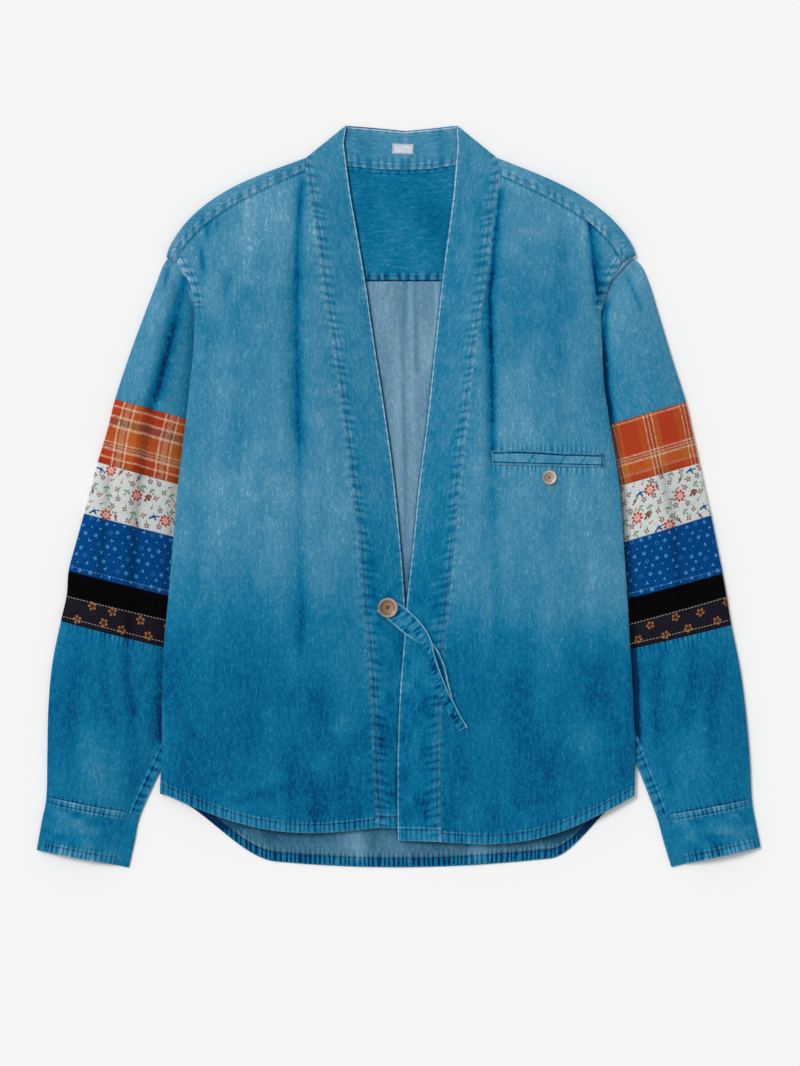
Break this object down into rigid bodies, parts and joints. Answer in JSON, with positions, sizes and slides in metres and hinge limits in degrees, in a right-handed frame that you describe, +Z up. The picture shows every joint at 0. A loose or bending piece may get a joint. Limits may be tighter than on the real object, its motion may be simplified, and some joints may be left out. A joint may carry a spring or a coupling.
{
  "type": "denim wrap jacket with pieced sleeve bands",
  "caption": "Denim wrap jacket laid flat on its back: band collar, V neck, buttoned cloth tab, welt chest pocket, curved hems and bands of contrasting cloth round each sleeve.",
  "frame": {"origin": "middle of the outline, on the surface that the jacket lies on", "axes": "+Z up from the surface, +Y towards the collar, +X towards the wearer's left sleeve"},
  "size_m": [0.7472, 0.7661, 0.0186],
  "materials": {
    "denim": "washed blue denim, faded along seams",
    "denim_inside": "paler grey-blue wrong side of the denim",
    "plaid": "brushed red and ochre check with cream lines",
    "floral": "off-white cotton with a small scattered flower print",
    "blue_print": "bright blue cotton with small pale marks",
    "velvet": "black velvet",
    "dark_print": "dark cloth with small tan blossoms",
    "label_cloth": "bare pale woven label",
    "horn_dark": "polished brown horn",
    "horn_pale": "pale horn"
  },
  "bodies": {
    "root": {"back": "denim_inside", "yoke": "denim", "front_right": "denim", "front_left": "denim", "collar_right": "denim", "collar_left": "denim", "sleeve_right_upper": "denim", "sleeve_right_plaid": "plaid", "sleeve_right_floral": "floral", "sleeve_right_blue": "blue_print", "sleeve_right_black": "velvet", "sleeve_right_dark": "dark_print", "sleeve_right_lower": "denim", "cuff_right": "denim", "sleeve_left_upper": "denim", "sleeve_left_plaid": "plaid", "sleeve_left_floral": "floral", "sleeve_left_blue": "blue_print", "sleeve_left_black": "velvet", "sleeve_left_dark": "dark_print", "sleeve_left_lower": "denim", "cuff_left": "denim", "pocket_welt": "denim", "label": "label_cloth", "tab": "denim", "button_front": "horn_dark", "button_pocket": "horn_pale"}
  },
  "joints": []
}
